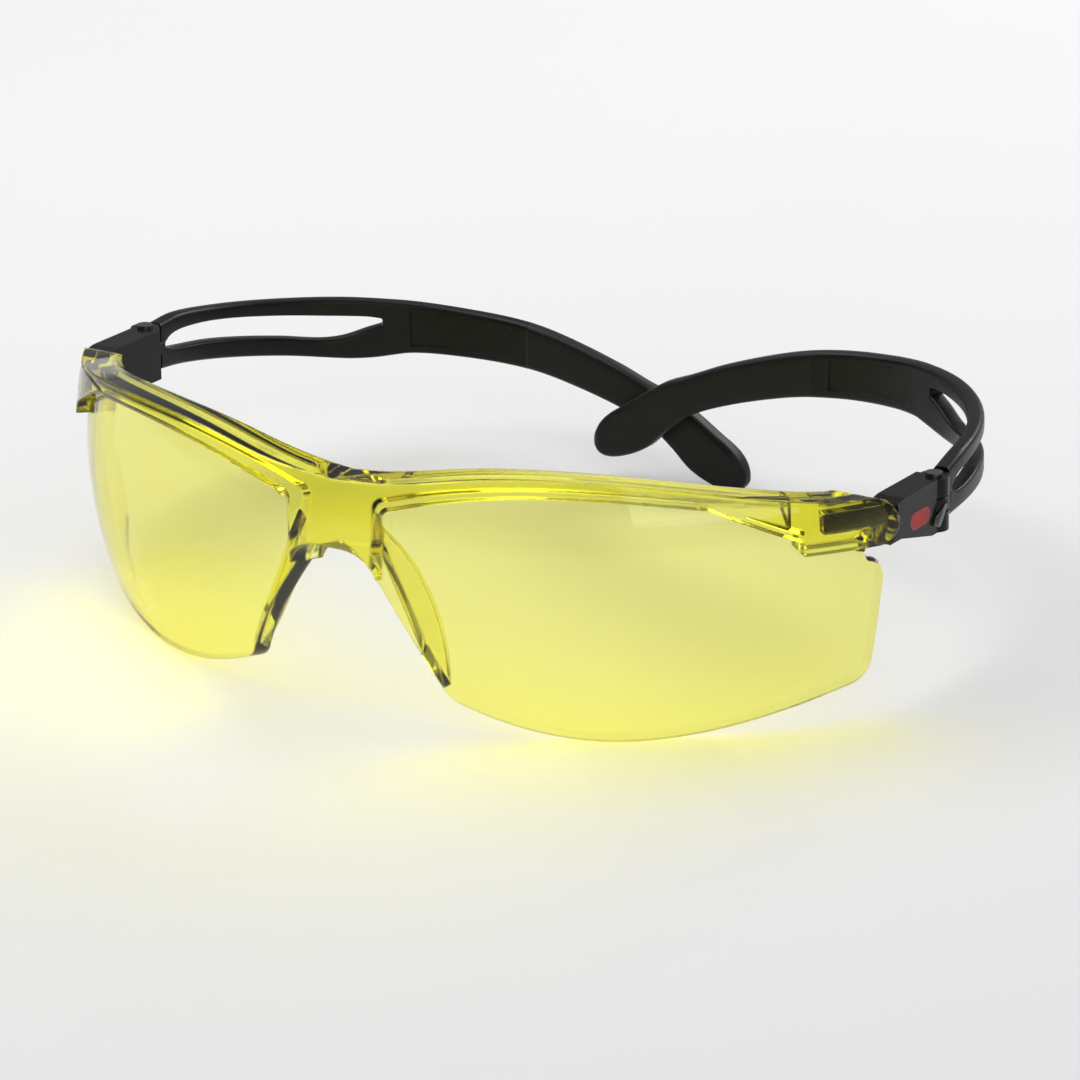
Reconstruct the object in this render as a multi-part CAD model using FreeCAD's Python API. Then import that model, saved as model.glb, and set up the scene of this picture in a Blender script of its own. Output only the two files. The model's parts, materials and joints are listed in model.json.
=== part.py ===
import FreeCAD, Part
import math
import os
from FreeCAD import Vector

# Wrap-around safety glasses, in millimetres.
# The glasses are drawn as they are worn: +X is the wearer's left, -Y is the way the wearer looks,
# +Z is up, Y = 0 is the front of the bridge and Z = 0 is the lowest point of the lens.
# The last step stands them on a table, on the lens and on the tip of the right temple.

# Lens: a toric shell, with one upright axis behind each pane. The brow bar and the bridge stand
# proud of the panes, and the bridge's sides slope down to them.
LENS_RADIUS = 70.0
BRIDGE_HALF = 11.0
VERTICAL_RADIUS = 60.0
MID_HEIGHT = 24.0
PANE_THICKNESS = 2.2
WRAP_ANGLE = 64.0
PANE_FACING = 35.0
FRAME_PROUD = 1.6
FRAME_DEPTH = 5.2
RECESS_BOTTOM = 23.4
RECESS_WALL_FRONT = 7.2
RECESS_WALL_BACK = 8.4
LOWEST = -4.0
HIGHEST = 46.0

# Nose flanges: clear walls behind the nose edges
FLANGE_DEPTH = 4.6
FLANGE_THICKNESS = 1.7
FLANGE_TOP = Vector(6.4, 1.9, 32.2)
FLANGE_FOOT = Vector(18.4, 3.7, 5.8)
FLANGE_FLARE = 0.2

# Lugs: the thick ends of the lens, each with a socket for the tongue of a hinge block
LUG_START = 38.0
LUG_END = 63.5
LUG_BOTTOM = 30.0
LUG_TOP = 37.0
LUG_PROUD = 1.9
LUG_DEPTH = 6.3
LUG_TAPER_ANGLE = 12.0
LUG_FRONT_TAPER = 1.4
LUG_BACK_TAPER = 3.2
RIB_START = 50.5
RIB_TOP = 32.0
NOTCH_BOTTOM = 28.6
TONGUE_START = 53.5
TONGUE_BOTTOM = 32.2
TONGUE_TOP = 35.2
TONGUE_PROUD = -0.6
TONGUE_DEPTH = 2.2
TONGUE_CLEARANCE = 0.1

# Hinge blocks and hinges
HINGE_X = 72.6
HINGE_Y = 51.5
BARREL_RADIUS = 2.3
BARREL_GAP = 0.35
BLOCK_BOTTOM = 27.6
BLOCK_FRONT_BOTTOM = 29.9
BLOCK_TOP = 35.9
BLOCK_INNER = 69.6
BLOCK_OUTER = 74.2
BLOCK_FRONT = 33.0
BLOCK_LUG_GAP = 0.3
EAR_HEIGHT = 2.9
PIN_RADIUS = 0.8
PIN_HEAD_RADIUS = 1.3
PIN_HEAD_HEIGHT = 0.5
PIN_CLEARANCE = 0.06
EAR_CLEARANCE = 0.15

# Badge: a plain red inlay in the outer face of each block
BADGE_LENGTH = 5.8
BADGE_HEIGHT = 2.6
BADGE_DEPTH = 0.5
BADGE_Y = 44.6
BADGE_Z = 31.4

# Temples
TEMPLE_THICKNESS = 2.6
TEMPLE_START = 2.65
TEMPLE_LENGTH = 114.8
TEMPLE_LEAD = 6.0
TEMPLE_BEND = 43.0
TEMPLE_HEADING = 2.0
HEADING_DIFFERENCE = 2.6
LIFT_DIFFERENCE = 4.6
ROLL_DIFFERENCE = 1.37
TEMPLE_BEVEL = 0.5
SLOT_BEVEL = 0.25
PANEL_BEVEL = 0.1
NECK_OVERLAP = 1.0
NECK_INSET = 0.1
PANEL_DEPTH = 0.35
PANEL_MARGIN = 1.3
PANEL_START = 52.0
PANEL_END = 70.5

# Sleeves: soft ends moulded over a thin tang of the temple
SLEEVE_START = 73.0
SLEEVE_SKIN = 0.12
TANG_END = 98.0
TANG_THICKNESS = 1.2
TANG_MARGIN = 1.6
TANG_BEVEL = 0.2

# Upright profiles along a temple and its slot: length from the hinge, lower edge, upper edge
TEMPLE_PROFILE = [(TEMPLE_START, 28.4, 36.2), (8.0, 28.3, 36.9), (17.0, 27.7, 36.7), (30.0, 26.6, 36.2),
                  (41.0, 25.5, 35.8), (46.0, 25.6, 35.5), (52.0, 26.4, 35.1), (60.0, 26.2, 34.3),
                  (SLEEVE_START, 25.3, 32.9), (80.0, 24.1, 31.4), (90.0, 21.4, 28.3), (97.0, 18.6, 25.5),
                  (101.0, 15.6, 24.0), (104.5, 12.4, 22.0), (109.0, 10.3, 19.0), (112.5, 9.8, 16.6),
                  (TEMPLE_LENGTH, 10.8, 13.8)]
SLOT_PROFILE = [(4.0, 32.0, 32.8), (5.4, 31.5, 33.7), (9.0, 31.2, 34.3), (17.0, 30.9, 34.4),
                (30.0, 29.7, 33.6), (37.0, 28.9, 33.1), (41.0, 29.2, 32.9), (45.0, 30.5, 32.7),
                (47.0, 31.1, 32.4)]
ARM_SECTIONS = 16
TIP_SECTIONS = 14
SLOT_SECTIONS = 24

# Brow line, lower edge of the brow bar and corners of the lug: distance across the pane, height
BROW = [(-7.0, 37.6), (0.0, 37.6), (8.0, 38.4), (19.0, 40.6), (31.6, 41.6), (44.6, 41.0),
        (57.0, 39.4), (70.0, 37.4), (84.0, 35.4)]
BROW_LEDGE = [(8.9, 34.8), (19.0, 37.7), (31.6, 39.1), (44.6, 38.7), (57.0, 37.3), (84.0, 33.4)]
LUG_CORNERS = [(52.0, 38.6), (68.0, RIB_TOP), (90.0, RIB_TOP), (90.0, LUG_TOP), (72.0, LUG_TOP),
               (60.0, 38.4)]


def box(low, high):
    """A block between two opposite corners."""
    size = high - low
    return Part.makeBox(size.x, size.y, size.z, low)


def upright_prism(points, low, high):
    """An upright bar over plan corners, from one height to another."""
    corners = [Vector(x, y, low) for x, y in points]
    return Part.Face(Part.makePolygon(corners + [corners[0]])).extrude(Vector(0, 0, high - low))


def mirrored(shape):
    """The same shape on the wearer's other side."""
    return shape.mirror(Vector(0, 0, 0), Vector(1, 0, 0))


def lens_axis():
    """Foot of the left pane's upright axis."""
    return Vector(BRIDGE_HALF, LENS_RADIUS, 0)


def around(angle, radius):
    """Plan position at a wrap angle in degrees and a distance from the left pane's axis."""
    a = math.radians(angle)
    return BRIDGE_HALF + radius * math.sin(a), LENS_RADIUS - radius * math.cos(a)


def shell_section(proud, depth, low, high):
    """Upright section of the toric shell, in the plane X = BRIDGE_HALF."""
    def point(radius, z):
        drop = VERTICAL_RADIUS - math.sqrt(VERTICAL_RADIUS ** 2 - (z - MID_HEIGHT) ** 2)
        return Vector(BRIDGE_HALF, LENS_RADIUS - (radius - drop), z)

    outer = LENS_RADIUS + proud
    inner = outer - depth
    middle = (low + high) / 2
    front = Part.Arc(point(outer, low), point(outer, middle), point(outer, high)).toShape()
    back = Part.Arc(point(inner, high), point(inner, middle), point(inner, low)).toShape()
    cap = Part.makeLine(point(outer, high), point(inner, high))
    foot = Part.makeLine(point(inner, low), point(outer, low))
    return Part.Face(Part.Wire([front, cap, back, foot]))


def shell(proud, depth, low, high, start, end):
    """Part of the left half of the toric shell; a start of 0 includes the flat bridge."""
    section = shell_section(proud, depth, low, high)
    placed = section.copy()
    placed.rotate(lens_axis(), Vector(0, 0, 1), start)
    wrapped = placed.revolve(lens_axis(), Vector(0, 0, 1), end - start)
    if start > 0:
        return wrapped
    return wrapped.fuse(section.extrude(Vector(-BRIDGE_HALF, 0, 0))).removeSplitter()


def facing(u, z):
    """A point of the pane outline, u across the pane and z up, ahead of the lens."""
    a = math.radians(PANE_FACING)
    across = Vector(math.cos(a), math.sin(a), 0)
    ahead = Vector(math.sin(a), -math.cos(a), 0)
    return across * u + ahead * 60 + Vector(0, 0, z)


def facing_prism(edges):
    """A bar through the pane along the direction it faces."""
    a = math.radians(PANE_FACING)
    return Part.Face(Part.Wire(edges)).extrude(Vector(-math.sin(a), math.cos(a), 0) * 130)


def curve(points):
    """A smooth edge of the pane outline through the points."""
    spline = Part.BSplineCurve()
    spline.interpolate([facing(u, z) for u, z in points])
    return spline.toShape()


def line(first, second):
    """A straight edge of the pane outline."""
    return Part.makeLine(facing(*first), facing(*second))


def arc(first, middle, last):
    """A round edge of the pane outline."""
    return Part.Arc(facing(*first), facing(*middle), facing(*last)).toShape()


def nose_arch():
    """Edges from the midplane to the start of the straight nose edge."""
    return [line((-7.0, 27.4), (1.2, 27.4)), arc((1.2, 27.4), (4.2, 26.2), (5.9, 23.4))]


def pane_outline():
    """Left half of the lens outline, from the nose arch round to the brow."""
    return nose_arch() + [
        line((5.9, 23.4), (15.4, 7.4)),
        arc((15.4, 7.4), (16.7, 5.6), (18.6, 4.5)),
        curve([(18.6, 4.5), (28.0, 1.5), (37.5, 0.2), (49.0, 0.9), (62.0, 3.6), (75.0, 7.3)]),
        arc((75.0, 7.3), (77.7, 8.8), (78.9, 11.5)),
        line((78.9, 11.5), (80.4, 24.4)),
        arc((80.4, 24.4), (79.9, 26.1), (78.2, 27.2)),
        arc((78.2, 27.2), (77.5, 27.9), (77.6, 29.0)),
        line((77.6, 29.0), (77.6, LUG_BOTTOM + 1.0)),
        line((77.6, LUG_BOTTOM + 1.0), (84.0, LUG_BOTTOM + 1.0)),
        line((84.0, LUG_BOTTOM + 1.0), (84.0, 35.4)),
        curve(BROW[::-1]),
        line((-7.0, 37.6), (-7.0, 27.4)),
    ]


def frame_outline():
    """Left half of the thick brow bar and bridge that the panes sit in."""
    return nose_arch() + [
        line((5.9, RECESS_BOTTOM), (6.9, RECESS_BOTTOM)),
        line((6.9, RECESS_BOTTOM), (6.9, 32.4)),
        arc((6.9, 32.4), (7.4, 34.1), (8.9, 34.8)),
        curve(BROW_LEDGE),
        line((84.0, 33.4), (84.0, 35.4)),
        curve(BROW[::-1]),
        line((-7.0, 37.6), (-7.0, 27.4)),
    ]


def recess_bevel():
    """Wedge that slopes the bridge's side down to the pane."""
    ahead = -FRAME_PROUD - 1
    corners = [(RECESS_WALL_FRONT, ahead), (RECESS_WALL_FRONT, -FRAME_PROUD), (RECESS_WALL_BACK, 0),
               (RECESS_WALL_BACK + 2, 0), (RECESS_WALL_BACK + 2, ahead)]
    return upright_prism(corners, RECESS_BOTTOM - 1, BROW_LEDGE[0][1] - 1)


def nose_flange():
    """A clear D-shaped wall behind the nose edge of the pane."""
    back = Vector(FLANGE_FLARE, 1, 0).normalize()
    middle = (FLANGE_TOP + FLANGE_FOOT) * 0.5 + back * FLANGE_DEPTH
    bulge = Part.Arc(FLANGE_TOP, middle, FLANGE_FOOT).toShape()
    chord = Part.makeLine(FLANGE_FOOT, FLANGE_TOP)
    outward = (FLANGE_TOP - FLANGE_FOOT).cross(back).normalize()
    return Part.Face(Part.Wire([bulge, chord])).extrude(outward * FLANGE_THICKNESS)


def lug_end_y():
    """How far back the lug's outer face reaches."""
    return around(LUG_END, LENS_RADIUS + LUG_PROUD)[1]


def lug_round(extra):
    """The half-round rear end of the lug seen from the side, as a bar across the block."""
    radius = (LUG_TOP - LUG_BOTTOM) / 2
    centre = Vector(BLOCK_INNER - 10, lug_end_y() - radius, LUG_BOTTOM + radius)
    return Part.makeCylinder(radius + extra, 30, centre, Vector(1, 0, 0))


def behind_lug_round():
    """Everything behind the lug's half-round end, down to the notch above the pane's corner."""
    radius = (LUG_TOP - LUG_BOTTOM) / 2
    low = Vector(BLOCK_INNER - 10, lug_end_y() - radius, NOTCH_BOTTOM)
    return box(low, Vector(BLOCK_OUTER + 10, lug_end_y() + 10, LUG_TOP + 5)).cut(lug_round(0))


def lug_tapers():
    """Wedges in front of and behind the lug that thin it towards the pane."""
    outer = LENS_RADIUS + LUG_PROUD
    inner = outer - LUG_DEPTH
    start = LUG_START - 0.5
    full = LUG_START + LUG_TAPER_ANGLE
    front = [around(start, outer - LUG_FRONT_TAPER), around(full, outer + 0.3), around(start, outer + 8)]
    back = [around(start, inner + LUG_BACK_TAPER), around(full, inner - 0.3), around(start, inner - 8)]
    return [upright_prism(front, LUG_BOTTOM - 1, HIGHEST), upright_prism(back, LUG_BOTTOM - 1, HIGHEST)]


def tongue(clearance):
    """The block's tongue, or with a clearance the socket it slides into."""
    return shell(TONGUE_PROUD + clearance, TONGUE_DEPTH + 2 * clearance, TONGUE_BOTTOM, TONGUE_TOP,
                 TONGUE_START, LUG_END + 3.0)


def lug():
    """The thick end of the lens: a body that grows out of the brow bar, over a blunt lower rib."""
    sides = [line(first, last) for first, last in zip(LUG_CORNERS, LUG_CORNERS[1:] + LUG_CORNERS[:1])]
    body = shell(LUG_PROUD, LUG_DEPTH, LUG_BOTTOM, LUG_CORNERS[0][1] + 1, LUG_START, LUG_END)
    rib = shell(LUG_PROUD, LUG_DEPTH, LUG_BOTTOM, RIB_TOP, RIB_START, LUG_END)
    return body.common(facing_prism(sides)).cut(lug_tapers()).fuse(rib)


def lens_front():
    """The one-piece front: panes, brow bar, bridge, nose flanges and lugs."""
    pane = shell(0, PANE_THICKNESS, LOWEST, HIGHEST, 0, WRAP_ANGLE)
    frame = shell(FRAME_PROUD, FRAME_DEPTH, LOWEST, HIGHEST, 0, WRAP_ANGLE)
    inside = facing_prism(pane_outline())
    pane = pane.common(inside)
    flange = nose_flange().common(inside)
    frame = frame.common(facing_prism(frame_outline())).cut(recess_bevel())
    left_side = box(Vector(0, -20, LOWEST), Vector(120, 120, HIGHEST))
    half = pane.fuse([frame, flange, lug()]).common(left_side)
    half = half.cut([tongue(TONGUE_CLEARANCE), behind_lug_round()])
    return half.fuse(mirrored(half)).removeSplitter()


def upright_cylinder(radius, low, high):
    """A cylinder on the hinge axis."""
    return Part.makeCylinder(radius, high - low, Vector(HINGE_X, HINGE_Y, low))


def block_body():
    """The block's outline seen from the side, with a sloping underside."""
    side = [(BLOCK_FRONT, BLOCK_TOP - 1.2), (BLOCK_FRONT, BLOCK_FRONT_BOTTOM),
            (lug_end_y() + 1, BLOCK_FRONT_BOTTOM), (HINGE_Y - BARREL_RADIUS - 1, BLOCK_BOTTOM),
            (HINGE_Y, BLOCK_BOTTOM), (HINGE_Y, BLOCK_TOP), (lug_end_y() + 2, BLOCK_TOP)]
    corners = [Vector(BLOCK_INNER, y, z) for y, z in side]
    face = Part.Face(Part.makePolygon(corners + [corners[0]]))
    return face.extrude(Vector(BLOCK_OUTER - BLOCK_INNER, 0, 0))


def badge():
    """A plain inlay with round ends, flush with the block's outer face."""
    radius = BADGE_HEIGHT / 2
    reach = BADGE_LENGTH / 2 - radius
    x = BLOCK_OUTER - BADGE_DEPTH
    middle = box(Vector(x, BADGE_Y - reach, BADGE_Z - radius),
                 Vector(BLOCK_OUTER, BADGE_Y + reach, BADGE_Z + radius))
    ends = [Part.makeCylinder(radius, BADGE_DEPTH, Vector(x, y, BADGE_Z), Vector(1, 0, 0))
            for y in (BADGE_Y - reach, BADGE_Y + reach)]
    return middle.fuse(ends).removeSplitter()


def hinge_block():
    """Moulded block behind the lug: tongue forward, two hinge ears behind."""
    ears = upright_cylinder(BARREL_RADIUS, BLOCK_BOTTOM, BLOCK_TOP)
    body = block_body()
    front = box(Vector(BLOCK_INNER - 5, BLOCK_FRONT - 5, BLOCK_BOTTOM - 5),
                Vector(BLOCK_OUTER + 5, lug_end_y() - (LUG_TOP - LUG_BOTTOM) / 2, BLOCK_TOP + 5))
    body = body.cut([lug_round(BLOCK_LUG_GAP), front]).fuse(ears)
    throat = upright_cylinder(BARREL_RADIUS + BARREL_GAP, BLOCK_BOTTOM + EAR_HEIGHT,
                              BLOCK_TOP - EAR_HEIGHT)
    rear = box(Vector(BLOCK_INNER - 20, HINGE_Y - 5, 0), Vector(BLOCK_OUTER + 20, HINGE_Y + 20, 60))
    outside = box(Vector(BLOCK_OUTER - BADGE_DEPTH, 0, 0), Vector(BLOCK_OUTER + 20, HINGE_Y + 20, 60))
    body = body.cut(throat).fuse(tongue(0).cut([rear, outside]))
    bore = upright_cylinder(PIN_RADIUS, BLOCK_BOTTOM, BLOCK_TOP)
    return body.cut([bore, badge()]).removeSplitter()


def hinge_pin():
    """Headed steel pin, pressed into the two ears."""
    shank = upright_cylinder(PIN_RADIUS, BLOCK_BOTTOM, BLOCK_TOP)
    head = upright_cylinder(PIN_HEAD_RADIUS, BLOCK_TOP, BLOCK_TOP + PIN_HEAD_HEIGHT)
    return shank.fuse(head)


def temple_point(s, side, across=0.0):
    """Plan position at a length s behind the hinge; side is 1 for the left temple, -1 for the right."""
    start = math.radians(TEMPLE_HEADING + side * HEADING_DIFFERENCE)
    lead = min(s, TEMPLE_LEAD)
    centre_x = HINGE_X - TEMPLE_LEAD * math.sin(start) - TEMPLE_BEND * math.cos(start)
    centre_y = HINGE_Y + TEMPLE_LEAD * math.cos(start) - TEMPLE_BEND * math.sin(start)
    bend_length = (math.pi / 2 - start) * TEMPLE_BEND
    turned = min(max(s - TEMPLE_LEAD, 0), bend_length)
    heading = start + turned / TEMPLE_BEND
    radius = TEMPLE_BEND + across
    x = centre_x + radius * math.cos(heading) + (TEMPLE_LEAD - lead) * math.sin(start)
    y = centre_y + radius * math.sin(heading) - (TEMPLE_LEAD - lead) * math.cos(start)
    return x - max(s - TEMPLE_LEAD - bend_length, 0), y


def temple_lift(s, side):
    """How much higher than average a temple runs at a length s: the left one up, the right one down."""
    x, y = temple_point(s, side)
    rise = (y - HINGE_Y) * math.tan(math.radians(LIFT_DIFFERENCE))
    return side * (rise - (HINGE_X - x) * math.tan(math.radians(ROLL_DIFFERENCE)))


def ring(s, side, low, high, inner, outer, bevel):
    """An eight-cornered upright section across a temple."""
    corners = [
        (inner + bevel, low), (outer - bevel, low), (outer, low + bevel), (outer, high - bevel),
        (outer - bevel, high), (inner + bevel, high), (inner, high - bevel), (inner, low + bevel),
    ]
    lift = temple_lift(s, side)
    points = []
    for across, z in corners:
        x, y = temple_point(s, side, across)
        points.append(Vector(x, y, z + lift))
    return Part.makePolygon(points + [points[0]])


def between(profile, s):
    """Lower and upper edge of a profile at a length s, on a smooth curve through its points."""
    index = 0
    while index < len(profile) - 2 and s > profile[index + 1][0]:
        index += 1
    first, last = profile[index], profile[index + 1]
    before, after = profile[max(index - 1, 0)], profile[min(index + 2, len(profile) - 1)]
    width = last[0] - first[0]
    t = (s - first[0]) / width
    edges = []
    for k in (1, 2):
        slope_in = (last[k] - before[k]) / (last[0] - before[0]) * width
        slope_out = (after[k] - first[k]) / (after[0] - first[0]) * width
        rise = last[k] - first[k]
        edges.append(first[k] + t * slope_in + t * t * (3 * rise - 2 * slope_in - slope_out)
                     + t ** 3 * (slope_in + slope_out - 2 * rise))
    return edges


def inset(profile, start, end, count, margin=0.0):
    """Evenly spaced sections of a profile, narrowed by a margin at both edges."""
    sections = []
    for index in range(count):
        s = start + (end - start) * index / (count - 1)
        low, high = between(profile, s)
        sections.append((s, low + margin, high - margin))
    return sections


def strip(sections, side, inner, outer, bevel):
    """A band that follows the temple between two offsets from its middle surface."""
    rings = [ring(s, side, low, high, inner, outer, bevel) for s, low, high in sections]
    return Part.makeLoft(rings, True, False)


def knuckle():
    """The temple's hinge eye, between the block's ears."""
    low = BLOCK_BOTTOM + EAR_HEIGHT + EAR_CLEARANCE
    high = BLOCK_TOP - EAR_HEIGHT - EAR_CLEARANCE
    eye = upright_cylinder(BARREL_RADIUS, low, high)
    half = TEMPLE_THICKNESS / 2
    neck = box(Vector(HINGE_X - half, HINGE_Y, low),
               Vector(HINGE_X + half - NECK_INSET, HINGE_Y + TEMPLE_START + NECK_OVERLAP, high))
    return eye.fuse(neck), upright_cylinder(PIN_RADIUS + PIN_CLEARANCE, low - 1, high + 1)


def tang(side):
    """The thin end of the temple inside the sleeve."""
    half = TANG_THICKNESS / 2
    sections = inset(TEMPLE_PROFILE, SLEEVE_START, TANG_END, 5, TANG_MARGIN)
    return strip(sections, side, -half, half, TANG_BEVEL)


def temple_arm(side):
    """Hard slotted temple with a hinge eye, a recessed panel inside and a tang behind."""
    half = TEMPLE_THICKNESS / 2
    slot = strip(inset(SLOT_PROFILE, SLOT_PROFILE[0][0], SLOT_PROFILE[-1][0], SLOT_SECTIONS), side,
                 -half - 2, half + 2, SLOT_BEVEL)
    panel = strip(inset(TEMPLE_PROFILE, PANEL_START, PANEL_END, 4, PANEL_MARGIN), side,
                  -half - 1, -half + PANEL_DEPTH, PANEL_BEVEL)
    eye, bore = knuckle()
    sections = inset(TEMPLE_PROFILE, TEMPLE_START, SLEEVE_START, ARM_SECTIONS)
    arm = strip(sections, side, -half, half, TEMPLE_BEVEL)
    return arm.cut([slot, panel]).fuse([eye, tang(side)]).cut(bore).removeSplitter()


def temple_sleeve(side):
    """Soft end of the temple, with a deeper lower edge towards the tip."""
    half = TEMPLE_THICKNESS / 2 + SLEEVE_SKIN
    sections = inset(TEMPLE_PROFILE, SLEEVE_START, TEMPLE_LENGTH, TIP_SECTIONS)
    return strip(sections, side, -half, half, TEMPLE_BEVEL).cut(tang(side))


def lowest(shape, pitch):
    """Height of a shape's lowest point after the glasses are pitched."""
    a = math.radians(pitch)
    return min(p.z * math.cos(a) - p.y * math.sin(a) for p in shape.tessellate(0.05)[0])


def rest_pitch(lens, tip):
    """Pitch at which the lens and the lower temple tip touch the same table."""
    flat = 0.0
    steep = 15.0
    for _ in range(30):
        pitch = (flat + steep) / 2
        if lowest(tip, pitch) > lowest(lens, pitch):
            flat = pitch
        else:
            steep = pitch
    return pitch


def rest_placement(shapes):
    """Placement that stands the worn glasses on the table, centred over the origin."""
    pitch = rest_pitch(shapes["lens_front"], shapes["right_temple_sleeve"])
    turn = FreeCAD.Placement(Vector(0, 0, 0), FreeCAD.Rotation(Vector(1, 0, 0), -pitch))
    points = [turn.multVec(p) for shape in shapes.values() for p in shape.tessellate(0.05)[0]]
    low_x, high_x = min(p.x for p in points), max(p.x for p in points)
    low_y, high_y = min(p.y for p in points), max(p.y for p in points)
    low_z = min(p.z for p in points)
    move = Vector(-(low_x + high_x) / 2, -(low_y + high_y) / 2, -low_z)
    return pitch, FreeCAD.Placement(move, turn.Rotation)


def worn_shapes():
    """Every sub-part by name, in the worn position."""
    shapes = {"lens_front": lens_front()}
    for name, shape in (("hinge_block", hinge_block()), ("hinge_pin", hinge_pin()), ("badge", badge())):
        shapes["left_" + name] = shape
        shapes["right_" + name] = mirrored(shape)
    shapes["left_temple_arm"] = temple_arm(1)
    shapes["left_temple_sleeve"] = temple_sleeve(1)
    shapes["right_temple_arm"] = mirrored(temple_arm(-1))
    shapes["right_temple_sleeve"] = mirrored(temple_sleeve(-1))
    return shapes


def main():
    """Writes every sub-part, standing on the table, and prints where the left hinge ended up."""
    os.makedirs("parts", exist_ok=True)
    shapes = worn_shapes()
    pitch, placement = rest_placement(shapes)
    hinge = placement.multVec(Vector(HINGE_X, HINGE_Y, (BLOCK_BOTTOM + BLOCK_TOP) / 2))
    axis = placement.Rotation.multVec(Vector(0, 0, 1))
    print("rest pitch", round(pitch, 4), "offset", [round(v, 4) for v in placement.Base])
    print("left hinge", [round(v, 4) for v in hinge], "axis", [round(v, 6) for v in axis])
    for name, shape in shapes.items():
        placed = shape.copy()
        placed.Placement = placement.multiply(shape.Placement)
        placed.exportStep(os.path.join("parts", name + ".step"))
        print(name, placed.isValid(), len(placed.Solids), round(placed.Volume, 1))


main()
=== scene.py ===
import json
import math
import bmesh
import bpy
from mathutils import Matrix, Vector


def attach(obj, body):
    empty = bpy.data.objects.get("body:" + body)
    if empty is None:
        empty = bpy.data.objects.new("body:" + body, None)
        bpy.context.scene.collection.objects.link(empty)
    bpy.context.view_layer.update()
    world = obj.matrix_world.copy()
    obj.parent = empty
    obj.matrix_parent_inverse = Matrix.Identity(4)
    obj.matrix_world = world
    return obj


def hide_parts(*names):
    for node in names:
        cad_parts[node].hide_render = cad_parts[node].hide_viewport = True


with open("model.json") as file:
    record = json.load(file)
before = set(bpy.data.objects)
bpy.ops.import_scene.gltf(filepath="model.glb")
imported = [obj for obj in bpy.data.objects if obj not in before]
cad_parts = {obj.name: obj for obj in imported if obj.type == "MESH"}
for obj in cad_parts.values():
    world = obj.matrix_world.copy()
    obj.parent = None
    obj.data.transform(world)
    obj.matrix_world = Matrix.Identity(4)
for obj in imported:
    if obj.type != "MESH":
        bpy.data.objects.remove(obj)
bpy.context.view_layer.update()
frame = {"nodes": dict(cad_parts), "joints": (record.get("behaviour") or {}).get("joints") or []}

# The glasses are worked out as they are worn (+X the wearer's left, -Y the way they look, +Z up)
# and then carried into the resting frame with the left hinge's place and axis.
MM = 0.001
HINGE_X, HINGE_Y, HINGE_Z = 72.6, 51.5, 31.75
HINGE = Vector((HINGE_X, HINGE_Y, HINGE_Z)) * MM
FOLD = {joint["name"]: joint for joint in frame["joints"]}
HINGE_AXIS = Vector(FOLD["left_fold"]["axis"]).normalized()
PITCH = math.atan2(HINGE_AXIS.y, HINGE_AXIS.z)
TURN = Matrix.Rotation(-PITCH, 3, "X")
SHIFT = Vector(FOLD["left_fold"]["pos_m"]) - TURN @ HINGE


def rest(point):
    """A worn point, in metres, carried into the resting frame."""
    return TURN @ Vector(point) + SHIFT


def rest_mm(x, y, z):
    """A worn point, in millimetres, carried into the resting frame."""
    return rest(Vector((x, y, z)) * MM)


# ---------------------------------------------------------------- node helpers

def material(name):
    """A new material with its node tree, its main shader and its output node."""
    made = bpy.data.materials.new(name)
    made.use_nodes = True
    tree = made.node_tree
    return made, tree, tree.nodes["Principled BSDF"], tree.nodes["Material Output"]


def noise_of(tree, scale, detail=4.0, rough=0.55, stretch=(1, 1, 1), turn=(0, 0, 0)):
    """Noise in the object's own coordinates; the scale counts features per metre."""
    where = tree.nodes.new("ShaderNodeTexCoord")
    mapped = tree.nodes.new("ShaderNodeMapping")
    mapped.inputs["Scale"].default_value = stretch
    mapped.inputs["Rotation"].default_value = turn
    noise = tree.nodes.new("ShaderNodeTexNoise")
    noise.inputs["Scale"].default_value = scale
    noise.inputs["Detail"].default_value = detail
    noise.inputs["Roughness"].default_value = rough
    tree.links.new(where.outputs["Object"], mapped.inputs["Vector"])
    tree.links.new(mapped.outputs["Vector"], noise.inputs["Vector"])
    return noise.outputs["Fac"]


def remap(tree, value, low, high, out_low, out_high):
    """A value stretched from one range to another and held inside it."""
    node = tree.nodes.new("ShaderNodeMapRange")
    node.inputs["From Min"].default_value = low
    node.inputs["From Max"].default_value = high
    node.inputs["To Min"].default_value = out_low
    node.inputs["To Max"].default_value = out_high
    tree.links.new(value, node.inputs["Value"])
    return node.outputs["Result"]


def maths(tree, kind, first, second):
    """Two values, sockets or numbers, joined by an operation and held between 0 and 1."""
    node = tree.nodes.new("ShaderNodeMath")
    node.operation = kind
    node.use_clamp = True
    for index, value in enumerate((first, second)):
        if isinstance(value, (int, float)):
            node.inputs[index].default_value = value
        else:
            tree.links.new(value, node.inputs[index])
    return node.outputs[0]


def mixed(tree, factor, first, second):
    """A colour between two, either of which may be a socket."""
    node = tree.nodes.new("ShaderNodeMix")
    node.data_type = "RGBA"
    tree.links.new(factor, node.inputs[0])
    for index, value in ((6, first), (7, second)):
        if isinstance(value, tuple):
            node.inputs[index].default_value = (*value, 1.0)
        else:
            tree.links.new(value, node.inputs[index])
    return node.outputs[2]


def edge_wear(tree, radius):
    """Where a rounded normal departs from the true one: 1 on edges, 0 on flats."""
    bevel = tree.nodes.new("ShaderNodeBevel")
    bevel.samples = 6
    bevel.inputs["Radius"].default_value = radius
    geometry = tree.nodes.new("ShaderNodeNewGeometry")
    dot = tree.nodes.new("ShaderNodeVectorMath")
    dot.operation = "DOT_PRODUCT"
    tree.links.new(bevel.outputs["Normal"], dot.inputs[0])
    tree.links.new(geometry.outputs["Normal"], dot.inputs[1])
    return remap(tree, dot.outputs["Value"], 1.0, 0.86, 0.0, 1.0)


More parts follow.
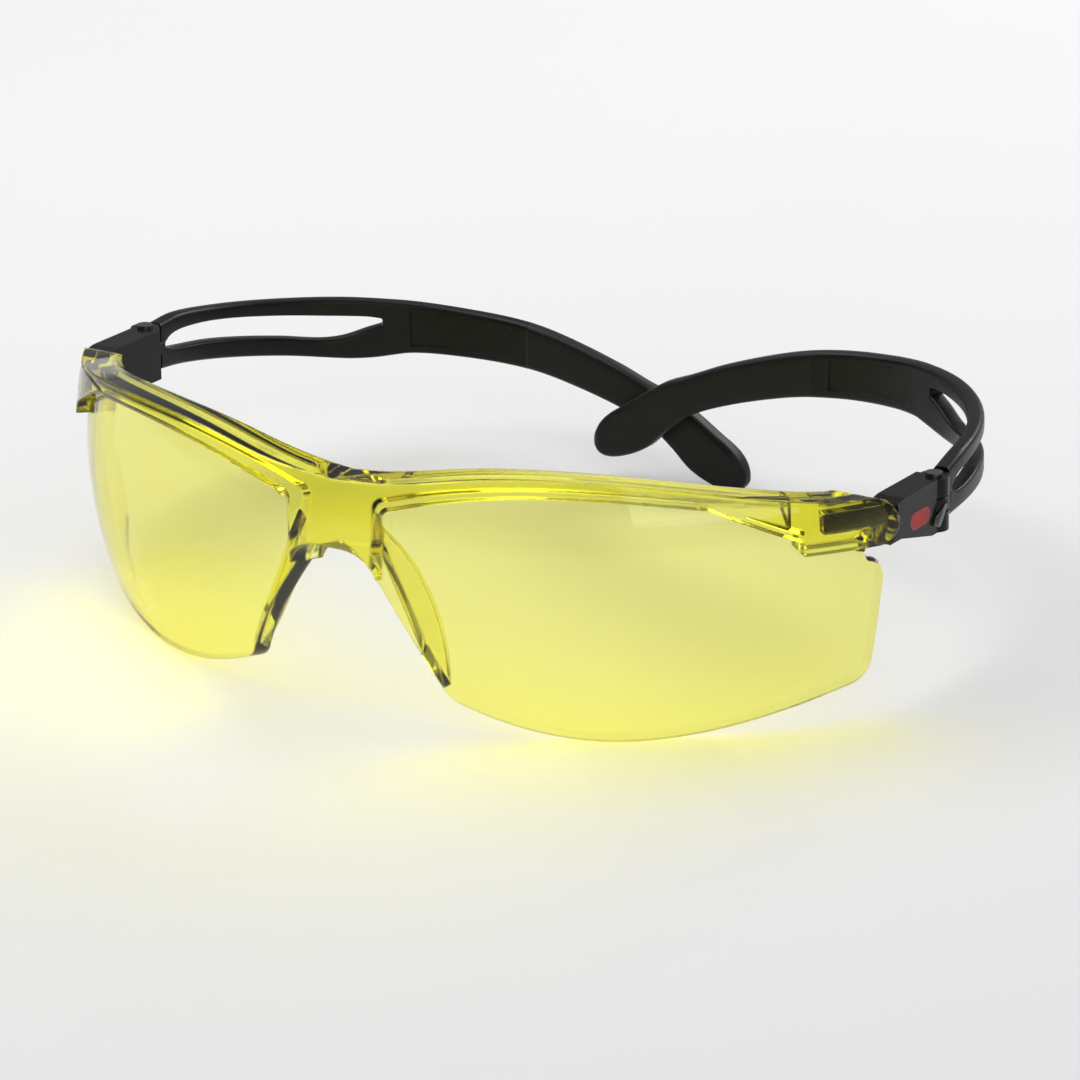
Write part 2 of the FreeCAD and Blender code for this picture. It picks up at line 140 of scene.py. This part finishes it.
def bump(tree, shader, height, strength, distance):
    """Fine relief on a shader; the distance is in metres."""
    node = tree.nodes.new("ShaderNodeBump")
    node.inputs["Strength"].default_value = strength
    node.inputs["Distance"].default_value = distance
    tree.links.new(height, node.inputs["Height"])
    tree.links.new(node.outputs["Normal"], shader.inputs["Normal"])
    return node


# ------------------------------------------------------------------- materials

def moulded_plastic(name, dark, pale, gloss, grain_scale, grain, wear, sheen=0.0):
    """Moulded plastic: a fine grain, patches of handling gloss and slightly polished edges."""
    made, tree, shader, _ = material(name)
    patches = noise_of(tree, 140.0, 3.0)
    fine = noise_of(tree, grain_scale, 5.0, 0.62)
    scuffs = noise_of(tree, 520.0, 6.0, 0.7, stretch=(0.25, 1.0, 2.4), turn=(0.2, 0.1, 0.5))
    worn = maths(tree, "MULTIPLY", edge_wear(tree, 0.00035), wear)
    body = mixed(tree, remap(tree, patches, 0.3, 0.7, 0.0, 1.0), dark, pale)
    lighter = tuple(min(1.0, 2.1 * v + 0.012) for v in pale)
    scuffed = remap(tree, scuffs, 0.62, 0.8, 0.0, 0.45)
    colour = mixed(tree, maths(tree, "MAXIMUM", worn, scuffed), body, lighter)
    tree.links.new(colour, shader.inputs["Base Color"])
    rough = remap(tree, patches, 0.25, 0.75, gloss - 0.05, gloss + 0.07)
    rough = maths(tree, "SUBTRACT", rough, maths(tree, "MULTIPLY", worn, 0.1))
    rough = maths(tree, "ADD", rough, maths(tree, "MULTIPLY", scuffed, 0.16))
    tree.links.new(rough, shader.inputs["Roughness"])
    shader.inputs["IOR"].default_value = 1.5
    shader.inputs["Specular IOR Level"].default_value = 0.22
    if sheen > 0:
        shader.inputs["Sheen Weight"].default_value = sheen
        shader.inputs["Sheen Roughness"].default_value = 0.45
    bump(tree, shader, fine, 0.35, grain)
    return made


def tinted_lens(name, tint, density):
    """Clear tinted polycarbonate that deepens with thickness, with faint dust and hairlines."""
    made, tree, shader, output = material(name)
    shader.inputs["Base Color"].default_value = (1.0, 1.0, 0.96, 1.0)
    shader.inputs["Transmission Weight"].default_value = 1.0
    shader.inputs["IOR"].default_value = 1.56
    smears = noise_of(tree, 90.0, 3.0)
    hairs = noise_of(tree, 900.0, 2.0, 0.4, stretch=(0.06, 0.4, 1.6), turn=(0.3, 0.5, 0.9))
    rough = remap(tree, smears, 0.45, 0.8, 0.008, 0.035)
    hair = remap(tree, hairs, 0.74, 0.8, 0.0, 0.05)
    tree.links.new(maths(tree, "ADD", rough, hair), shader.inputs["Roughness"])
    # The edges of the moulding are slightly round.
    soft = tree.nodes.new("ShaderNodeBevel")
    soft.samples = 4
    soft.inputs["Radius"].default_value = 0.0006
    ripple = bump(tree, shader, smears, 0.02, 0.0002)
    tree.links.new(soft.outputs["Normal"], ripple.inputs["Normal"])
    # The lamps shine straight through to what lies behind the lens.
    through = tree.nodes.new("ShaderNodeBsdfTransparent")
    through.inputs["Color"].default_value = (0.99, 0.99, 0.98, 1.0)
    path = tree.nodes.new("ShaderNodeLightPath")
    choose = tree.nodes.new("ShaderNodeMixShader")
    tree.links.new(path.outputs["Is Shadow Ray"], choose.inputs[0])
    tree.links.new(shader.outputs[0], choose.inputs[1])
    tree.links.new(through.outputs[0], choose.inputs[2])
    tree.links.new(choose.outputs[0], output.inputs["Surface"])
    inside = tree.nodes.new("ShaderNodeVolumeAbsorption")
    inside.inputs["Color"].default_value = tint
    inside.inputs["Density"].default_value = density
    tree.links.new(inside.outputs[0], output.inputs["Volume"])
    return made


def steel(name):
    """Darkened steel with fine turning lines."""
    made, tree, shader, _ = material(name)
    shader.inputs["Metallic"].default_value = 1.0
    lines = noise_of(tree, 4000.0, 3.0, 0.5, stretch=(1.0, 1.0, 0.05))
    stain = noise_of(tree, 900.0, 4.0)
    colour = mixed(tree, stain, (0.10, 0.10, 0.105), (0.20, 0.195, 0.19))
    tree.links.new(colour, shader.inputs["Base Color"])
    tree.links.new(remap(tree, lines, 0.3, 0.7, 0.2, 0.42), shader.inputs["Roughness"])
    bump(tree, shader, lines, 0.2, 0.00002)
    return made


LENS = tinted_lens("lens_tinted", (0.975, 0.962, 0.20, 1.0), 640.0)
BLOCK = moulded_plastic("block_black", (0.0018, 0.0018, 0.002), (0.004, 0.004, 0.0043), 0.22,
                        5200.0, 0.00002, 0.6)
TEMPLE = moulded_plastic("temple_black", (0.0018, 0.0019, 0.002), (0.004, 0.0042, 0.0042), 0.34,
                         6500.0, 0.00003, 0.6)
SLEEVE = moulded_plastic("sleeve_black", (0.0024, 0.0024, 0.0025), (0.0048, 0.0048, 0.005), 0.40,
                         8200.0, 0.00003, 0.35, sheen=0.06)
BADGE = moulded_plastic("badge_red", (0.30, 0.008, 0.008), (0.45, 0.02, 0.018), 0.26,
                        6000.0, 0.00001, 0.3)
STEEL = steel("pin_steel")
# Painted highlight: this grey stands in for the light caught on each hinge barrel, not for a grey part.
PAINTED_HIGHLIGHT = moulded_plastic("painted_highlight_grey", (0.15, 0.15, 0.152), (0.21, 0.21, 0.212), 0.3,
                         6000.0, 0.00001, 0.2)

NODE_MATERIALS = {
    "lens_front": LENS,
    "hinge_block": BLOCK,
    "hinge_pin": STEEL,
    "badge": BADGE,
    "temple_arm": TEMPLE,
    "temple_sleeve": SLEEVE,
}
for name, node in frame["nodes"].items():
    for ending, made in NODE_MATERIALS.items():
        if name.endswith(ending):
            for place in node.material_slots:
                place.material = made

# --------------------------------------------------------------- temple shapes
# Lengths below are in millimetres until a point is carried to rest.

TEMPLE_LEAD, TEMPLE_BEND = 6.0, 43.0
HEADING, HEADING_DIFFERENCE = 2.0, 2.6
LIFT_DIFFERENCE, ROLL_DIFFERENCE = 4.6, 1.37
HALF = 1.3
ARM_START, ARM_END, TIP_END = 2.65, 73.0, 114.8
TIP_ROUND = 1.5
SWELL_START, SWELL_LENGTH, SWELL = 95.0, 3.5, 0.22
SLEEVE_SKIN = 0.12
SLOT_START, SLOT_END, SLOT_REACH = 4.0, 47.0, 0.35
PANEL_START, PANEL_END, PANEL_DEPTH = 52.0, 70.5, 0.35
EDGE_ROUND, SLEEVE_ROUND, SLOT_ROUND = 0.75, 0.95, 0.45
EYE_BORE, EYE_RADIUS = 0.86, 2.3
EYE_LOW, EYE_HIGH, EYE_CHAMFER = 30.65, 32.85, 0.15
EYE_SEGMENTS = 40
NECK_START, NECK_END, NECK_INSET = 1.3, 3.4, 0.1
SHARP_ANGLE = 35.0
# Each profile gives the length from the hinge, the lower edge and the upper edge.
TEMPLE_PROFILE = [(2.65, 28.4, 36.2), (8.0, 28.3, 36.9), (17.0, 27.7, 36.7), (30.0, 26.6, 36.2),
                  (41.0, 25.5, 35.8), (46.0, 25.6, 35.5), (52.0, 26.4, 35.1), (60.0, 26.2, 34.3),
                  (73.0, 25.3, 32.9), (80.0, 24.1, 31.4), (90.0, 21.4, 28.3), (97.0, 18.6, 25.5),
                  (101.0, 15.6, 24.0), (104.5, 12.4, 22.0), (109.0, 10.3, 19.0), (112.5, 9.8, 16.6),
                  (114.8, 10.8, 13.8)]
SLOT_PROFILE = [(4.0, 32.0, 32.8), (5.4, 31.5, 33.7), (9.0, 31.2, 34.3), (17.0, 30.9, 34.4),
                (30.0, 29.7, 33.6), (37.0, 28.9, 33.1), (41.0, 29.2, 32.9), (45.0, 30.5, 32.7),
                (47.0, 31.1, 32.4)]
ARC = [math.radians(v) for v in (0, 22.5, 45, 67.5, 90)]
FACE_ROWS = len(ARC) + 3
ALL_ROWS = 2 * len(ARC) + 2
CLOSED, SLOT_POINT, SLOT_OPEN = 0, 1, 2


def temple_point(s, side, across):
    """Plan position at a length s behind the hinge, a little across the temple's middle surface."""
    start = math.radians(HEADING + side * HEADING_DIFFERENCE)
    lead = min(s, TEMPLE_LEAD)
    centre_x = HINGE_X - TEMPLE_LEAD * math.sin(start) - TEMPLE_BEND * math.cos(start)
    centre_y = HINGE_Y + TEMPLE_LEAD * math.cos(start) - TEMPLE_BEND * math.sin(start)
    bend = (math.pi / 2 - start) * TEMPLE_BEND
    heading = start + min(max(s - TEMPLE_LEAD, 0), bend) / TEMPLE_BEND
    radius = TEMPLE_BEND + across
    x = centre_x + radius * math.cos(heading) + (TEMPLE_LEAD - lead) * math.sin(start)
    y = centre_y + radius * math.sin(heading) - (TEMPLE_LEAD - lead) * math.cos(start)
    return x - max(s - TEMPLE_LEAD - bend, 0), y


def temple_place(s, side, across, z):
    """A point of a temple carried to rest; side is 1 for the left temple and -1 for the right."""
    mid_x, mid_y = temple_point(s, side, 0.0)
    rise = (mid_y - HINGE_Y) * math.tan(math.radians(LIFT_DIFFERENCE))
    lift = side * (rise - (HINGE_X - mid_x) * math.tan(math.radians(ROLL_DIFFERENCE)))
    x, y = temple_point(s, side, across)
    return rest_mm(side * x, y, z + lift)


def between(profile, s):
    """Lower and upper edge of a profile at a length s, on a smooth curve through its points."""
    index = 0
    while index < len(profile) - 2 and s > profile[index + 1][0]:
        index += 1
    first, last = profile[index], profile[index + 1]
    before, after = profile[max(index - 1, 0)], profile[min(index + 2, len(profile) - 1)]
    width = last[0] - first[0]
    t = (s - first[0]) / width
    edges = []
    for k in (1, 2):
        slope_in = (last[k] - before[k]) / (last[0] - before[0]) * width
        slope_out = (after[k] - first[k]) / (after[0] - first[0]) * width
        rise = last[k] - first[k]
        edges.append(first[k] + t * slope_in + t * t * (3 * rise - 2 * slope_in - slope_out)
                     + t ** 3 * (slope_in + slope_out - 2 * rise))
    return edges


def band_rows(edge, limit, toward, state, edge_round):
    """(height, drop below the face) from a band's outer edge to the slot or the middle line."""
    rows = []
    for a in ARC:
        rows.append((edge + toward * edge_round * (1 - math.cos(a)), edge_round * (1 - math.sin(a))))
    rows += [(edge + toward * 1.3, 0.0), (edge + toward * 1.5, 0.0)]
    depth = SLOT_ROUND if state == SLOT_OPEN else 0.0
    for a in reversed(ARC):
        rows.append((limit - toward * depth * (1 - math.cos(a)), SLOT_ROUND * (1 - math.sin(a))))
    return rows


def slot_at(s):
    """Whether the slot is open, at its very end or closed at a length s, and its edges."""
    if SLOT_START <= s <= SLOT_END:
        low, high = between(SLOT_PROFILE, s)
        return SLOT_OPEN, low, high
    for end, sign in ((SLOT_START, -1), (SLOT_END, 1)):
        out = (s - end) * sign
        if 0 < out < SLOT_REACH + 0.01:
            low, high = between(SLOT_PROFILE, end)
            middle, half = (low + high) / 2, (high - low) / 2
            half *= math.sqrt(max(0.0, 1 - (out / SLOT_REACH) ** 2))
            if half > 0.05:
                return SLOT_OPEN, middle - half, middle + half
            return SLOT_POINT, middle, middle
    return CLOSED, None, None


def spaced(start, end, step):
    """Even lengths from start to end, about a step apart."""
    count = max(1, round((end - start) / step))
    return [start + (end - start) * i / count for i in range(count + 1)]


def temple_ring(bm, s, side, half, shrink, edge_round, slotted):
    """Vertices round a temple at a length s: a lower and an upper band, each an outer and an inner row."""
    low, high = between(TEMPLE_PROFILE, s)
    middle = (low + high) / 2
    low, high = middle + (low - middle) * shrink, middle + (high - middle) * shrink
    state, slot_low, slot_high = slot_at(s) if slotted else (CLOSED, None, None)
    if state == CLOSED:
        slot_low = slot_high = middle
    recess = PANEL_DEPTH if slotted and PANEL_START + 0.1 < s < PANEL_END - 0.1 else 0.0
    bands = []
    for edge, limit, toward in ((low, slot_low, 1), (high, slot_high, -1)):
        rows = band_rows(edge, limit, toward, state, edge_round * shrink)
        if not slotted:
            flat = (limit - edge) * toward - edge_round * shrink
            for k, share in ((len(ARC), 0.35), (len(ARC) + 1, 0.7)):
                rows[k] = (edge + toward * (edge_round * shrink + flat * share), 0.0)
        outer, inner = [], []
        for k, (z, drop) in enumerate(rows):
            sunk = recess if k in (FACE_ROWS - 2, FACE_ROWS - 1) else 0.0
            outer.append(bm.verts.new(temple_place(s, side, half - drop, z)))
            inner.append(bm.verts.new(temple_place(s, side, -(half - drop - sunk), z)))
        bands.append((outer, inner))
    return state, bands


def stitch(bm, first_ring, second_ring):
    """Faces between two neighbouring rings; where the slot is open, its walls too."""
    open_slot = min(first_ring[0], second_ring[0]) >= SLOT_POINT
    rows = ALL_ROWS if open_slot else FACE_ROWS
    walls = (0, rows - 1) if open_slot else (0,)
    for first_band, second_band in zip(first_ring[1], second_ring[1]):
        for first, second in zip(first_band, second_band):
            for k in range(rows - 1):
                bm.faces.new((first[k], first[k + 1], second[k + 1], second[k]))
        for k in walls:
            bm.faces.new((first_band[0][k], second_band[0][k], second_band[1][k], first_band[1][k]))


def temple_mesh(side, stations, half_at, edge_round, slotted):
    """A closed band along a temple, with rounded edges; the arm also has a slot and a recessed panel."""
    bm = bmesh.new()
    rings = []
    for s in stations:
        half, shrink = half_at(s)
        rings.append(temple_ring(bm, s, side, half, shrink, edge_round, slotted))
    for first, second in zip(rings, rings[1:]):
        stitch(bm, first, second)
    bmesh.ops.delete(bm, geom=[v for v in bm.verts if not v.link_faces], context="VERTS")
    bmesh.ops.remove_doubles(bm, verts=bm.verts, dist=2e-6)
    bmesh.ops.dissolve_degenerate(bm, dist=1e-6, edges=bm.edges)
    bmesh.ops.holes_fill(bm, edges=[e for e in bm.edges if e.is_boundary], sides=0)
    return bm


def as_object(name, bm, made, body):
    """A mesh turned into a smooth-shaded piece that rides on a body."""
    bmesh.ops.recalc_face_normals(bm, faces=bm.faces)
    mesh = bpy.data.meshes.new(name)
    bm.to_mesh(mesh)
    bm.free()
    for polygon in mesh.polygons:
        polygon.use_smooth = True
    mesh.set_sharp_from_angle(angle=math.radians(SHARP_ANGLE))
    mesh.materials.append(made)
    piece = bpy.data.objects.new(name, mesh)
    bpy.context.scene.collection.objects.link(piece)
    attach(piece, body)
    return piece


def join_loops(bm, first, second):
    """A band of faces between two closed loops of vertices."""
    for k in range(len(first)):
        following = (k + 1) % len(first)
        bm.faces.new((first[k], first[following], second[following], second[k]))


def add_eye(bm, side):
    """The temple's eye round the hinge axis, with chamfered ends."""
    rim = EYE_RADIUS - EYE_CHAMFER
    section = [(EYE_BORE, EYE_LOW), (rim, EYE_LOW), (EYE_RADIUS, EYE_LOW + EYE_CHAMFER),
               (EYE_RADIUS, EYE_HIGH - EYE_CHAMFER), (rim, EYE_HIGH), (EYE_BORE, EYE_HIGH)]
    loops = []
    for i in range(EYE_SEGMENTS):
        a = 2 * math.pi * i / EYE_SEGMENTS
        across, along = math.cos(a), math.sin(a)
        loops.append([bm.verts.new(rest_mm(side * (HINGE_X + r * across), HINGE_Y + r * along, z))
                      for r, z in section])
    for first, second in zip(loops, loops[1:] + loops[:1]):
        join_loops(bm, first, second)


def add_neck(bm, side):
    """The chamfered block that joins the eye to the temple."""
    x_low, x_high = HINGE_X - HALF, HINGE_X + HALF - NECK_INSET
    y_low, y_high = HINGE_Y + NECK_START, HINGE_Y + NECK_END
    levels = ((EYE_LOW, EYE_CHAMFER), (EYE_LOW + EYE_CHAMFER, 0), (EYE_HIGH - EYE_CHAMFER, 0),
              (EYE_HIGH, EYE_CHAMFER))
    loops = []
    for z, inset in levels:
        x0, x1 = x_low + inset, x_high - inset
        loops.append([bm.verts.new(rest_mm(side * x, y, z))
                      for x, y in ((x0, y_low), (x1, y_low), (x1, y_high), (x0, y_high))])
    for first, second in zip(loops, loops[1:]):
        join_loops(bm, first, second)
    bm.faces.new(loops[0])
    bm.faces.new(loops[-1])


def arm_stations():
    """Lengths at which the arm's rings stand: closer at the slot's ends and the panel's ends."""
    slot_ends = [SLOT_START - out for out in (SLOT_REACH, 0.3, 0.2)]
    slot_ends += [SLOT_END + out for out in (0.2, 0.3, SLOT_REACH)]
    panel_ends = [PANEL_START, PANEL_START + 0.2, PANEL_END - 0.2, PANEL_END]
    return sorted(set([ARM_START, PANEL_START - 1.0] + slot_ends + panel_ends
                      + spaced(SLOT_START, SLOT_END, 0.8)
                      + spaced(PANEL_START + 0.9, PANEL_END - 0.9, 0.9)
                      + spaced(PANEL_END + 0.6, ARM_END, 0.6)))


def sleeve_stations():
    """Lengths at which the sleeve's rings stand: closer at its front rim and at the rounded tip."""
    rim = [ARM_END - 0.06, ARM_END + 0.02, ARM_END + 0.14]
    tip = [TIP_END - TIP_ROUND * (1 - math.sin(math.radians(a))) for a in (15, 30, 45, 60, 72, 83)]
    return rim + spaced(ARM_END + 0.5, TIP_END - TIP_ROUND, 0.8) + tip


def arm_half(_):
    """Half thickness and height factor of the arm, the same all along."""
    return HALF, 1.0


def sleeve_half(s):
    """Half thickness and height factor of the sleeve: a step at its rim and a swollen, rounded tip."""
    if s < ARM_END + 0.1:
        return HALF - 0.02 + (s - ARM_END + 0.06) * 0.8, 1.0
    swell = min(max((s - SWELL_START) / SWELL_LENGTH, 0.0), 1.0)
    half = HALF + SLEEVE_SKIN + SWELL * swell * swell * (3 - 2 * swell)
    past = (s - (TIP_END - TIP_ROUND)) / TIP_ROUND
    if past <= 0:
        return half, 1.0
    shrink = math.sqrt(max(0.0, 1 - past * past))
    return half * (0.3 + 0.7 * shrink), 0.25 + 0.75 * shrink


def make_temples():
    """The arms and the sleeves, which stand in for the plainer CAD ones."""
    for word, side in (("left", 1), ("right", -1)):
        bm = temple_mesh(side, arm_stations(), arm_half, EDGE_ROUND, True)
        add_eye(bm, side)
        add_neck(bm, side)
        arm = as_object(word + "_arm_shape", bm, TEMPLE, word + "_temple")
        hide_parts(word + "_temple_arm")
        bm = temple_mesh(side, sleeve_stations(), sleeve_half, SLEEVE_ROUND, False)
        sleeve = as_object(word + "_sleeve_shape", bm, SLEEVE, word + "_temple")
        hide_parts(word + "_temple_sleeve")


# ---------------------------------------------------------------- hinge stripes (painted highlights)

STRIPE_FOOT, STRIPE_RUN, STRIPE_RISE = (48.9, 28.9), 2.3, 3.0
STRIPE_INNER, STRIPE_OUTER, STRIPE_ROUND = 74.0, 75.02, 0.08
STRIPE_HALF_WIDTH, STRIPE_STEPS = 0.42, 18


def stripe_loop(bm, side, t):
    """One section of the stripe, at a share t of its length."""
    y, z = STRIPE_FOOT[0] + STRIPE_RUN * t, STRIPE_FOOT[1] + STRIPE_RISE * t
    barrel = HINGE_X + math.sqrt(max(0.0, EYE_RADIUS ** 2 - (y - HINGE_Y) ** 2))
    inner = max(STRIPE_INNER, barrel + 0.02)
    shoulder = STRIPE_OUTER - STRIPE_ROUND
    width = STRIPE_HALF_WIDTH * math.sqrt(max(0.05, 1 - (2 * t - 1) ** 8))
    section = [(-width, inner), (-width, shoulder), (-width * 0.8, STRIPE_OUTER),
               (width * 0.8, STRIPE_OUTER), (width, shoulder), (width, inner)]
    return [bm.verts.new(rest_mm(side * x, y + w * 0.8, z - w * 0.6)) for w, x in section]


def make_stripes():
    """The slanted grey strip beside each hinge, following the block's side and the barrel: a painted
    highlight standing in for the light caught on the hinge barrel.
    """
    for word, side in (("left", 1), ("right", -1)):
        bm = bmesh.new()
        loops = [stripe_loop(bm, side, i / STRIPE_STEPS) for i in range(STRIPE_STEPS + 1)]
        for first, second in zip(loops, loops[1:]):
            join_loops(bm, first, second)
        bm.faces.new(loops[0])
        bm.faces.new(loops[-1])
        as_object(word + "_hinge_painted_highlight", bm, PAINTED_HIGHLIGHT, "front")


make_temples()
make_stripes()

# ------------------------------------------------------- camera, floor, lights

AZIMUTH, ELEVATION, ROLL = (math.radians(v) for v in (33.0, 19.3, 0.7))
DISTANCE = 0.864
LENS_MM = 190.93
SENSOR_MM = 36.0
AIM_RIGHT, AIM_UP = 0.02006, -0.00241
TARGET = Vector((0.0, 0.0191, 0.0249))
LIGHT_AIM = Vector((0.0, 0.0, 0.02))


def make_camera():
    """The camera: turned to the glasses as they are worn, then carried to rest with them."""
    level = math.cos(ELEVATION)
    back = Vector((math.sin(AZIMUTH) * level, -math.cos(AZIMUTH) * level, math.sin(ELEVATION)))
    right = Vector((math.cos(AZIMUTH), math.sin(AZIMUTH), 0.0))
    up = back.cross(right)
    turned_right = right * math.cos(ROLL) - up * math.sin(ROLL)
    turned_up = right * math.sin(ROLL) + up * math.cos(ROLL)
    aim = TARGET + turned_right * AIM_RIGHT + turned_up * AIM_UP
    columns = [TURN @ v for v in (turned_right, turned_up, back)]
    turn = Matrix(columns).transposed().to_4x4()
    data = bpy.data.cameras.new("camera")
    data.lens = LENS_MM
    data.sensor_width = SENSOR_MM
    data.clip_start = 0.05
    data.clip_end = 20.0
    camera = bpy.data.objects.new("camera", data)
    bpy.context.scene.collection.objects.link(camera)
    camera.matrix_world = Matrix.Translation(rest(aim + back * DISTANCE)) @ turn
    bpy.context.scene.camera = camera


def make_floor():
    """A plain pale floor."""
    mesh = bpy.data.meshes.new("floor")
    half = 3.0
    corners = [(-half, -half, 0), (half, -half, 0), (half, half, 0), (-half, half, 0)]
    mesh.from_pydata(corners, [], [(0, 1, 2, 3)])
    floor = bpy.data.objects.new("floor", mesh)
    bpy.context.scene.collection.objects.link(floor)
    made, tree, shader, _ = material("floor_pale")
    tree.links.new(mixed(tree, noise_of(tree, 6.0), (0.80, 0.80, 0.80), (0.84, 0.84, 0.84)),
                   shader.inputs["Base Color"])
    shader.inputs["Roughness"].default_value = 0.9
    mesh.materials.append(made)


def make_light(name, place, size, power):
    """A soft rectangular lamp that points at the middle of the glasses."""
    data = bpy.data.lights.new(name, "AREA")
    data.shape = "RECTANGLE"
    data.size, data.size_y = size
    data.energy = power
    lamp = bpy.data.objects.new(name, data)
    bpy.context.scene.collection.objects.link(lamp)
    lamp.location = place
    lamp.rotation_euler = (Vector(place) - LIGHT_AIM).to_track_quat("Z", "Y").to_euler()


def make_world():
    """A faint, even, slightly cool light from all round."""
    world = bpy.data.worlds.new("studio")
    bpy.context.scene.world = world
    world.use_nodes = True
    sky = world.node_tree.nodes["Background"]
    sky.inputs["Color"].default_value = (0.96, 0.97, 1.0, 1.0)
    sky.inputs["Strength"].default_value = 0.28
    bpy.context.scene.view_settings.view_transform = "Standard"
    bpy.context.scene.view_settings.look = "None"


make_camera()
make_floor()
make_world()
make_light("key", (-0.35, 0.05, 0.75), (0.9, 0.7), 5.0)
make_light("fill", (0.7, -0.6, 0.5), (0.8, 0.8), 2.4)
make_light("back", (0.2, 0.75, 0.45), (0.7, 0.2), 3.0)
